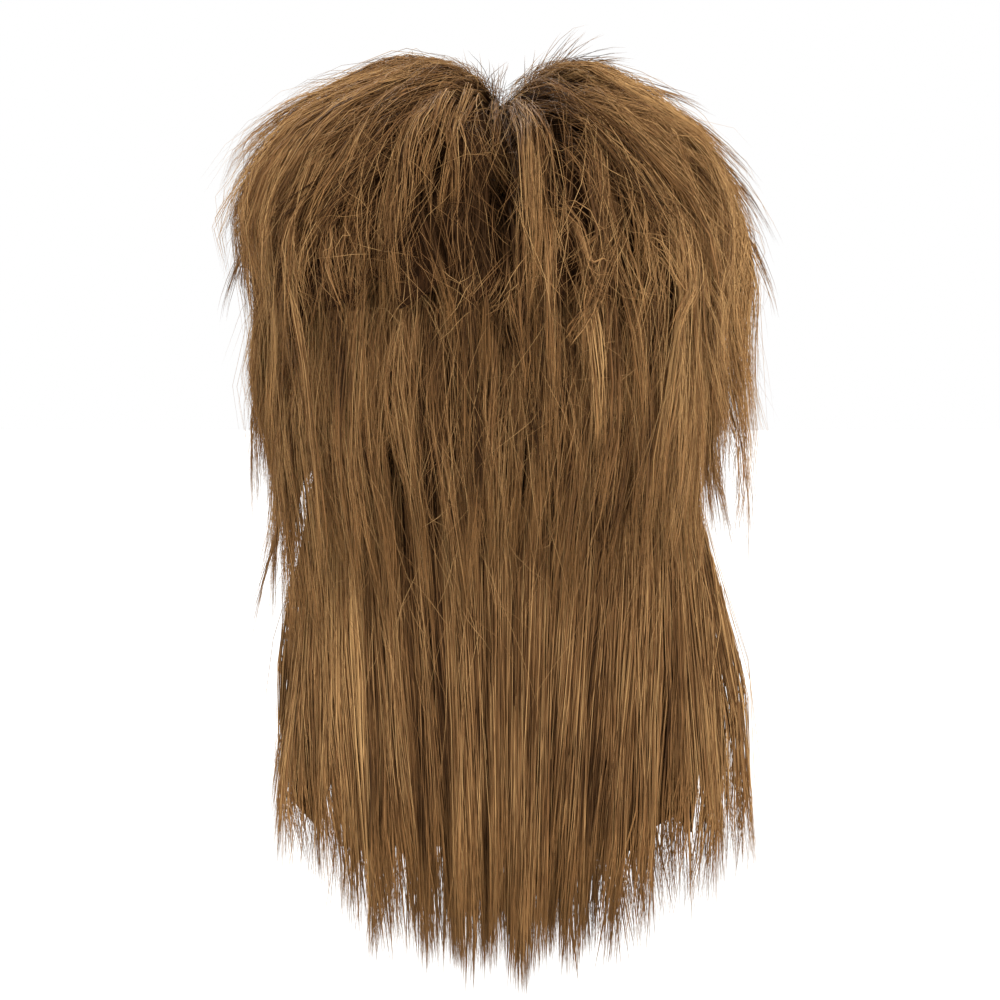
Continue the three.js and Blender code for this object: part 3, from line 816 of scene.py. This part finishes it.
def strand_mesh(name, combed, hair, rng):
    """Closed three-sided strands, each drawn out to a point, in one mesh."""
    low, high = (np.array(corner) for corner in solids_box)
    paths = np.clip(combed["paths"], low - hair.stand_off, high + hair.stand_off)
    width, flat, tone = combed["width"], combed["flat"], combed["tone"]
    count, points, _ = paths.shape
    rings = points - 1
    t = np.linspace(0, 1, points)
    along = np.gradient(paths, axis=1)
    along /= np.linalg.norm(along, axis=2, keepdims=True) + NEARLY_ZERO
    aside = np.cross(along, combed["outward"])
    aside /= np.linalg.norm(aside, axis=2, keepdims=True) + NEARLY_ZERO
    out = np.cross(aside, along)
    roll = rng.normal(size=count)[:, None] * np.where(flat, 0.25, 0.8)[:, None] * (0.6 + 0.8 * t)
    turned = aside * np.cos(roll)[..., None] + out * np.sin(roll)[..., None]
    out = out * np.cos(roll)[..., None] - aside * np.sin(roll)[..., None]
    aside = turned
    taper = np.minimum(1, 0.45 + 2.5 * t) * (1 - t ** combed["blunt"][:, None]) ** 0.9
    half = width[:, None] / 2 * taper[:, :rings]
    rise = half * np.where(flat, 0.34, 0.8)[:, None]
    corners = []
    for across, up in ((-1, -0.5), (1, -0.5), (0, 1)):
        corners.append(
            paths[:, :rings]
            + aside[:, :rings] * (half * across)[..., None]
            + out[:, :rings] * (rise * up)[..., None]
        )
    tube = np.stack(corners, axis=2).reshape(count, rings * 3, 3)
    verts = np.concatenate([tube, paths[:, -1:]], axis=1).reshape(-1, 3)
    one = [(2, 1, 0)]
    for r in range(rings - 1):
        for k in range(3):
            a, b = 3 * r + k, 3 * r + (k + 1) % 3
            one += [(a, b, b + 3), (a, b + 3, a + 3)]
    last = 3 * (rings - 1)
    one += [(last + k, last + (k + 1) % 3, last + 3) for k in range(3)]
    each = 3 * rings + 1
    faces = (np.array(one)[None] + (np.arange(count) * each)[:, None, None]).reshape(-1, 3)
    mesh = bpy.data.meshes.new(name)
    mesh.vertices.add(len(verts))
    mesh.vertices.foreach_set("co", verts.astype(np.float32).ravel())
    mesh.loops.add(len(faces) * 3)
    mesh.loops.foreach_set("vertex_index", faces.astype(np.int32).ravel())
    mesh.polygons.add(len(faces))
    mesh.polygons.foreach_set("loop_start", np.arange(0, len(faces) * 3, 3, dtype=np.int32))
    mesh.update(calc_edges=True)
    mesh.shade_smooth()

    def on_rings(values):
        """One value for each point of a strand, given to the corners round it."""
        return np.concatenate([np.repeat(values[:, :rings], 3, axis=1), values[:, -1:]], axis=1)

    def attribute(label, kind, field, values):
        layer = mesh.attributes.new(label, kind, "POINT")
        layer.data.foreach_set(field, np.ascontiguousarray(values, dtype=np.float32).ravel())

    attribute("along", "FLOAT", "value", on_rings(np.tile(t, (count, 1))))
    attribute("tone", "FLOAT", "value", on_rings(tone))
    # the place on the strand, in fibre widths across and in long steps down it
    steps = np.linalg.norm(np.diff(paths, axis=1), axis=2)
    run = np.concatenate([np.zeros((count, 1)), np.cumsum(steps, axis=1)], axis=1)
    fibre = np.zeros((count, each, 3))
    across = np.stack([-half, half, 0 * half], axis=2).reshape(count, rings * 3)
    fibre[:, :-1, 0] = across / FIBRE_WIDTH
    fibre[..., 1] = on_rings(run) / FIBRE_LENGTH
    fibre[..., 2] = rng.random(count)[:, None] * FIBRE_CHOICES
    attribute("fibre", "FLOAT_VECTOR", "vector", fibre)
    return mesh


def only(thing):
    """Selects one object and makes it active."""
    bpy.ops.object.select_all(action="DESELECT")
    thing.select_set(True)
    bpy.context.view_layer.objects.active = thing


def under_mass(key, layer, surface):
    """The dense hair under the strands: a flat slab, wrapped round the head between the layer's faces."""
    field = surface.own
    low, high = layer["arc"]
    columns = round((high - low) / 3)
    rows = 26
    bpy.ops.object.select_all(action="DESELECT")
    bpy.ops.mesh.primitive_grid_add(x_subdivisions=columns, y_subdivisions=rows, size=1)
    mass = bpy.context.active_object
    mass.name = mass.data.name = key + "_shaded_under_hair"
    bpy.ops.object.mode_set(mode="EDIT")
    bpy.ops.mesh.select_all(action="SELECT")
    bpy.ops.mesh.extrude_region_move(TRANSFORM_OT_translate={"value": (0, 0, -1)})
    bpy.ops.object.mode_set(mode="OBJECT")
    slab = np.zeros(len(mass.data.vertices) * 3)
    mass.data.vertices.foreach_get("co", slab)
    slab = slab.reshape(-1, 3)
    across, down, inside = slab[:, 0] + 0.5, 0.5 - slab[:, 1], slab[:, 2] < -0.5
    around = low + (high - low) * across
    first = layer["levels"][0] + (0.0 if layer["sweep"] else 0.05)
    ragged = 0.03 * np.sin(np.radians(around) * 23) + 0.02 * np.sin(np.radians(around) * 57)
    hem = field.hem_at(around) - layer["mass_short"] + ragged
    level = first + (hem - first) * down
    inner, outer = field.faces_at(around, level)
    outer = outer + np.minimum(puff(layer, level), 0)
    skin = layer["skin"] * MASS_DEPTH * MM
    if layer["sweep"]:
        skin = skin + 5 * MM * (1 - smooth_step(0.15, 0.5, level))
    ridges = 0.8 * MM * np.sin(np.radians(around) * 61 + 3 * level) * np.sin(np.radians(around) * 17)
    shell = np.maximum(outer - skin + ridges, inner + LEAST_MASS)
    if layer["sweep"]:
        hollow = hollow_depth(place(around, level, shell))
        shell = np.maximum(shell - hollow, inner + LEAST_MASS)
    back = inner + (2.6 if layer["lining"] else 0.7) * MM
    back = np.minimum(back, shell - 0.6 * MM)
    edge = np.minimum(np.minimum(across, 1 - across) * columns, (1 - down) * rows / 3)
    thin = 0.25 + 0.75 * np.clip(edge / 2, 0, 1)
    middle = (back + shell) / 2
    radius = middle + (np.where(inside, back, shell) - middle) * thin
    radius = radius + 0.4 * flare(layer, around) * smooth_step(0, 0.6, down)
    wrapped = place(around, level, radius)
    mass.data.vertices.foreach_set("co", wrapped.astype(np.float32).ravel())
    mass.data.update()
    bpy.ops.object.mode_set(mode="EDIT")
    bpy.ops.mesh.select_all(action="SELECT")
    bpy.ops.mesh.remove_doubles(threshold=0.00005)
    bpy.ops.mesh.normals_make_consistent(inside=False)
    bpy.ops.object.mode_set(mode="OBJECT")
    only(mass)
    bpy.ops.object.shade_smooth()
    return mass


def new_material(name, roughness, specular):
    material = bpy.data.materials.new(name)
    material.use_nodes = True
    shader = material.node_tree.nodes["Principled BSDF"]
    shader.inputs["Roughness"].default_value = roughness
    shader.inputs["Specular IOR Level"].default_value = specular
    return material, material.node_tree, shader


def map_range(nodes, low, high, to_low, to_high):
    node = nodes.new("ShaderNodeMapRange")
    node.inputs["From Min"].default_value = low
    node.inputs["From Max"].default_value = high
    node.inputs["To Min"].default_value = to_low
    node.inputs["To Max"].default_value = to_high
    return node


def add(nodes, links, first, second):
    node = nodes.new("ShaderNodeMath")
    links.new(first, node.inputs[0])
    links.new(second, node.inputs[1])
    return node.outputs[0]


def colour_ramp(nodes, links, value, *stops):
    """Colours by a value, through two stops or more: each is a position and a colour."""
    ramp = nodes.new("ShaderNodeValToRGB")
    elements = ramp.color_ramp.elements
    for element, (position, colour) in zip(elements, (stops[0], stops[-1])):
        element.position = position
        element.color = (*colour, 1)
    for position, colour in stops[1:-1]:
        elements.new(position).color = (*colour, 1)
    links.new(value, ramp.inputs["Fac"])
    return ramp.outputs["Color"]


def finish(tree, shader, colour, height, depth, strength=1.0):
    """Gives a shader its colour and a bump of some depth in metres."""
    bump = tree.nodes.new("ShaderNodeBump")
    bump.inputs["Strength"].default_value = strength
    bump.inputs["Distance"].default_value = depth
    tree.links.new(height, bump.inputs["Height"])
    tree.links.new(bump.outputs["Normal"], shader.inputs["Normal"])
    tree.links.new(colour, shader.inputs["Base Color"])


def strand_colour_group(hair):
    """Colour and fibre height of a strand, from its own tone, its place along it and slow patches. The tone
    carries painted shade and painted light, and the strand is painted darker near its root.
    """
    group = bpy.data.node_groups.new("strand_colour", "ShaderNodeTree")
    face = group.interface
    face.new_socket("Patch Size", in_out="INPUT", socket_type="NodeSocketFloat")
    face.new_socket("Color", in_out="OUTPUT", socket_type="NodeSocketColor")
    face.new_socket("Height", in_out="OUTPUT", socket_type="NodeSocketFloat")
    nodes, links = group.nodes, group.links
    enter = nodes.new("NodeGroupInput")
    leave = nodes.new("NodeGroupOutput")

    def attribute(name, output):
        node = nodes.new("ShaderNodeAttribute")
        node.attribute_name = name
        return node.outputs[output]

    along = attribute("along", "Fac")
    fibres = nodes.new("ShaderNodeTexNoise")
    fibres.inputs["Scale"].default_value = 1.0
    fibres.inputs["Detail"].default_value = 2
    links.new(attribute("fibre", "Vector"), fibres.inputs["Vector"])
    place_on_wig = nodes.new("ShaderNodeTexCoord")
    patches = nodes.new("ShaderNodeTexNoise")
    patches.inputs["Detail"].default_value = 3
    links.new(place_on_wig.outputs["Object"], patches.inputs["Vector"])
    links.new(enter.outputs["Patch Size"], patches.inputs["Scale"])
    patch = map_range(nodes, 0.3, 0.7, -0.12, 0.12)
    links.new(patches.outputs["Fac"], patch.inputs["Value"])
    streak = map_range(nodes, 0.3, 0.7, -0.27, 0.27)
    links.new(fibres.outputs["Fac"], streak.inputs["Value"])
    tone = add(nodes, links, attribute("tone", "Fac"), patch.outputs["Result"])
    tone = add(nodes, links, tone, streak.outputs["Result"])
    colours = colour_ramp(nodes, links, tone, (0.08, hair.shadow), (0.48, hair.brown), (0.95, hair.gold))
    # painted shade: the strand is darker near its root, where it lies under other hair
    root_shade = map_range(nodes, 0, 0.2, 0.6, 1)
    links.new(along, root_shade.inputs["Value"])
    shaded_roots = nodes.new("ShaderNodeMix")
    shaded_roots.data_type = "RGBA"
    shaded_roots.blend_type = "MULTIPLY"
    shaded_roots.inputs["Factor"].default_value = 1
    links.new(colours, shaded_roots.inputs["A"])
    links.new(root_shade.outputs["Result"], shaded_roots.inputs["B"])
    tipped = map_range(nodes, 0.72, 1, 0, 0.6)
    links.new(along, tipped.inputs["Value"])
    ends = nodes.new("ShaderNodeMix")
    ends.data_type = "RGBA"
    links.new(tipped.outputs["Result"], ends.inputs["Factor"])
    links.new(shaded_roots.outputs["Result"], ends.inputs["A"])
    ends.inputs["B"].default_value = (*hair.ends, 1)
    links.new(ends.outputs["Result"], leave.inputs["Color"])
    links.new(fibres.outputs["Fac"], leave.inputs["Height"])
    return group


def strand_material(name, group, hair, patch_size):
    _, tree, shader = new_material(name, roughness=0.55, specular=0.14)
    shader.inputs["Specular Tint"].default_value = (*hair.sheen, 1)
    colour = tree.nodes.new("ShaderNodeGroup")
    colour.node_tree = group
    colour.inputs["Patch Size"].default_value = patch_size
    finish(tree, shader, colour.outputs["Color"], colour.outputs["Height"], depth=0.3 * MM, strength=0.5)


def shaded_under_material(hair):
    """Painted shade: the hair seen between the strands, coloured much darker than the strands for the shade
    under them, and streaked down its length.
    """
    _, tree, shader = new_material("shaded_under_hair", roughness=0.9, specular=0.05)
    nodes, links = tree.nodes, tree.links
    place_on_wig = nodes.new("ShaderNodeTexCoord")
    stretch = nodes.new("ShaderNodeMapping")
    stretch.inputs["Scale"].default_value = (1, 1, 0.05)
    streaks = nodes.new("ShaderNodeTexNoise")
    streaks.inputs["Scale"].default_value = 900
    streaks.inputs["Detail"].default_value = 4
    links.new(place_on_wig.outputs["Object"], stretch.inputs["Vector"])
    links.new(stretch.outputs["Vector"], streaks.inputs["Vector"])
    # painted shade: the hair under the strands is coloured darker than they are
    darkest = [c * 0.3 for c in hair.shadow]
    lightest = [c * 1.3 for c in hair.shadow]
    colour = colour_ramp(nodes, links, streaks.outputs["Fac"], (0.35, darkest), (0.72, lightest))
    finish(tree, shader, colour, streaks.outputs["Fac"], depth=0.8 * MM)


def net_material(cap):
    """Knitted net with sewn rows of hair across it."""
    material, tree, shader = new_material("cap_net", roughness=0.85, specular=0.2)
    nodes, links = tree.nodes, tree.links
    place_on_wig = nodes.new("ShaderNodeTexCoord")
    cells = nodes.new("ShaderNodeTexVoronoi")
    cells.feature = "DISTANCE_TO_EDGE"
    cells.inputs["Scale"].default_value = 1 / cap.net_pitch
    links.new(place_on_wig.outputs["Object"], cells.inputs["Vector"])
    threads = map_range(nodes, 0.06, 0.3, 1, 0)
    links.new(cells.outputs["Distance"], threads.inputs["Value"])
    wefts = nodes.new("ShaderNodeTexWave")
    wefts.bands_direction = "Z"
    wefts.inputs["Scale"].default_value = 1 / cap.weft_pitch / BANDS_TO_SCALE
    wefts.inputs["Distortion"].default_value = 0.6
    links.new(place_on_wig.outputs["Object"], wefts.inputs["Vector"])
    rows = map_range(nodes, 0.72, 0.95, 0, 1)
    links.new(wefts.outputs["Fac"], rows.inputs["Value"])
    height = add(nodes, links, threads.outputs["Result"], rows.outputs["Result"])
    holes = [c * 0.45 for c in cap.net]
    yarn = [c * 2.6 for c in cap.net]
    colour = colour_ramp(nodes, links, height, (0, holes), (0.9, yarn))
    finish(tree, shader, colour, height, depth=0.9 * MM)
    return material


def hair_material(name, hair):
    """One of the hair's materials, all of them made the first time."""
    if name not in bpy.data.materials:
        group = strand_colour_group(hair)
        strand_material("long_hair_strands", group, hair, patch_size=14)
        strand_material("crown_hair_strands", group, hair, patch_size=20)
        shaded_under_material(hair)
    return bpy.data.materials[name]


def show(piece, layer):
    """Lets a piece stand for its layer's solid."""
    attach(piece, "root")
    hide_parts(layer["node"])


def add_strands(name, combed, layer, hair, rng):
    mesh = strand_mesh(name, combed, hair, rng)
    mesh.materials.append(hair_material(layer["slot"] + "_strands", hair))
    strands = bpy.data.objects.new(name, mesh)
    bpy.context.scene.collection.objects.link(strands)
    show(strands, layer)


def lay_hair(key, hair):
    """One layer of hair: the mass under it, the locks over that and the frizz over them."""
    layer = LAYERS[key]
    rng = np.random.default_rng([hair.seed, sorted(LAYERS).index(key)])
    surface = Surface(layer)
    locks = plan_locks(layer, surface, hair, rng)
    by_hand = plan_light_locks(LIGHT_LOCKS.get(key, ()), rng)
    locks = {name: np.concatenate([values, by_hand[name]]) for name, values in locks.items()}
    add_strands(key + "_strands", comb(layer, surface, locks, hair, rng), layer, hair, rng)
    if layer["frizz"]:
        frizz = comb_frizz(layer, surface, hair, rng)
        if layer["sweep"]:
            wisps = comb_wisps(np.sign(sum(layer["arc"])), hair, rng)
            frizz = {name: np.concatenate([values, wisps[name]]) for name, values in frizz.items()}
        add_strands(key + "_frizz", frizz, layer, hair, rng)
    mass = under_mass(key, layer, surface)
    mass.data.materials.append(hair_material("shaded_under_hair", hair))
    show(mass, layer)


class WIG_OT_cap(bpy.types.Operator):
    """Make the net cap that the hair is sewn to"""

    bl_idname = "wig.cap"
    bl_label = "Cap"

    def execute(self, context):
        cap = bpy.data.objects.new("net_cap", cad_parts["wig_cap"].data.copy())
        context.scene.collection.objects.link(cap)
        cap.data.materials.clear()
        only(cap)
        bpy.ops.object.mode_set(mode="EDIT")
        bpy.ops.mesh.select_all(action="SELECT")
        bpy.ops.mesh.remove_doubles(threshold=0.00002)
        bpy.ops.object.mode_set(mode="OBJECT")
        cap.modifiers.new("Smooth", "SUBSURF")
        cap.modifiers["Smooth"].levels = cap.modifiers["Smooth"].render_levels = 2
        bpy.ops.object.modifier_apply(modifier="Smooth")
        bpy.ops.object.shade_smooth()
        cap.data.materials.append(net_material(context.scene.wig_cap))
        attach(cap, "root")
        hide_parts("wig_cap")
        return {"FINISHED"}


class WIG_OT_back(bpy.types.Operator):
    """Comb the long back hair and the shorter layer over it"""

    bl_idname = "wig.back"
    bl_label = "Back hair"

    def execute(self, context):
        for key in ("nape", "middle"):
            lay_hair(key, context.scene.wig_hair)
        return {"FINISHED"}


class WIG_OT_sides(bpy.types.Operator):
    """Comb the hair over the ears and the forehead"""

    bl_idname = "wig.sides"
    bl_label = "Sides and fringe"

    def execute(self, context):
        for key in ("side_left", "side_right", "fringe"):
            lay_hair(key, context.scene.wig_hair)
        return {"FINISHED"}


class WIG_OT_crown(bpy.types.Operator):
    """Tease up the two puffs of the crown"""

    bl_idname = "wig.crown"
    bl_label = "Crown"

    def execute(self, context):
        for key in ("crown_left", "crown_right"):
            lay_hair(key, context.scene.wig_hair)
        return {"FINISHED"}


def add_sun(name, shines_from, softness, power):
    """A far soft lamp, which lights the wig and the whole floor alike."""
    light = bpy.data.lights.new(name, "SUN")
    light.angle = math.radians(softness)
    light.energy = power
    lamp = bpy.data.objects.new(name, light)
    lamp.rotation_euler = Vector(shines_from).to_track_quat("Z", "Y").to_euler()
    bpy.context.scene.collection.objects.link(lamp)


def studio_world(room_light):
    """Even light from all round, in front of a white wall."""
    world = bpy.data.worlds.new("studio")
    world.use_nodes = True
    nodes, links = world.node_tree.nodes, world.node_tree.links
    light = nodes["Background"]
    light.inputs["Color"].default_value = (1, 1, 1, 1)
    light.inputs["Strength"].default_value = room_light
    wall = nodes.new("ShaderNodeBackground")
    wall.inputs["Color"].default_value = (1, 1, 1, 1)
    seen = nodes.new("ShaderNodeLightPath")
    mix = nodes.new("ShaderNodeMixShader")
    links.new(seen.outputs["Is Camera Ray"], mix.inputs["Fac"])
    links.new(light.outputs["Background"], mix.inputs[1])
    links.new(wall.outputs["Background"], mix.inputs[2])
    links.new(mix.outputs["Shader"], nodes["World Output"].inputs["Surface"])
    return world


class WIG_OT_stage(bpy.types.Operator):
    """Set the floor, the studio light and the camera"""

    bl_idname = "wig.stage"
    bl_label = "Stage"

    def execute(self, context):
        stage = context.scene.wig_stage
        bpy.ops.object.select_all(action="DESELECT")
        bpy.ops.mesh.primitive_plane_add(size=FLOOR_SIZE)
        floor = context.active_object
        floor.name = "floor"
        floor.location.z = LONGEST_TIP_Z - stage.floor_drop
        bpy.ops.object.transform_apply(location=True)
        material, _, shader = new_material("pale_floor", roughness=0.9, specular=0.1)
        shader.inputs["Base Color"].default_value = (0.93, 0.93, 0.93, 1)
        floor.data.materials.append(material)
        context.scene.world = studio_world(stage.room_light)
        add_sun("key", (-0.9, 1.3, 1.1), softness=18, power=3.0)
        add_sun("fill", (1.2, 0.9, 0.9), softness=40, power=0.8)
        add_sun("front", (0.4, -1.4, 1.1), softness=30, power=1.6)
        camera_data = bpy.data.cameras.new("camera")
        camera = bpy.data.objects.new("camera", camera_data)
        target = Vector(WIG_MIDDLE)
        rise = stage.camera_elevation
        back = Vector((0, math.cos(rise), math.sin(rise)))
        camera.location = target + back * stage.camera_distance
        camera.rotation_euler = (-back).to_track_quat("-Z", "Y").to_euler()
        camera_data.sensor_width = SENSOR_WIDTH
        camera_data.lens = SENSOR_WIDTH * stage.camera_distance / stage.view_width
        context.scene.collection.objects.link(camera)
        context.scene.camera = camera
        context.scene.view_settings.view_transform = "Standard"
        return {"FINISHED"}


class WIG_PT_panel(bpy.types.Panel):
    """The wig's sizes, colours and steps"""

    bl_label = "Mullet wig"
    bl_idname = "WIG_PT_panel"
    bl_space_type = "VIEW_3D"
    bl_region_type = "UI"
    bl_category = "Wig"

    def draw(self, context):
        scene = context.scene
        for group in (scene.wig_hair, scene.wig_cap, scene.wig_stage):
            box = self.layout.box()
            for name in group.bl_rna.properties.keys():
                if name not in ("rna_type", "name"):
                    box.prop(group, name)
        for step in STEPS:
            self.layout.operator(step.bl_idname)


STEPS = (WIG_OT_stage, WIG_OT_cap, WIG_OT_back, WIG_OT_sides, WIG_OT_crown)
CLASSES = (WigHair, WigCap, WigStage, *STEPS, WIG_PT_panel)


def register():
    for cls in CLASSES:
        bpy.utils.register_class(cls)
    bpy.types.Scene.wig_hair = PointerProperty(type=WigHair)
    bpy.types.Scene.wig_cap = PointerProperty(type=WigCap)
    bpy.types.Scene.wig_stage = PointerProperty(type=WigStage)


def unregister():
    del bpy.types.Scene.wig_stage
    del bpy.types.Scene.wig_cap
    del bpy.types.Scene.wig_hair
    for cls in reversed(CLASSES):
        bpy.utils.unregister_class(cls)


def main():
    register()
    bpy.ops.wig.stage()
    bpy.ops.wig.cap()
    bpy.ops.wig.back()
    bpy.ops.wig.sides()
    bpy.ops.wig.crown()


if __name__ == "__main__":
    main()
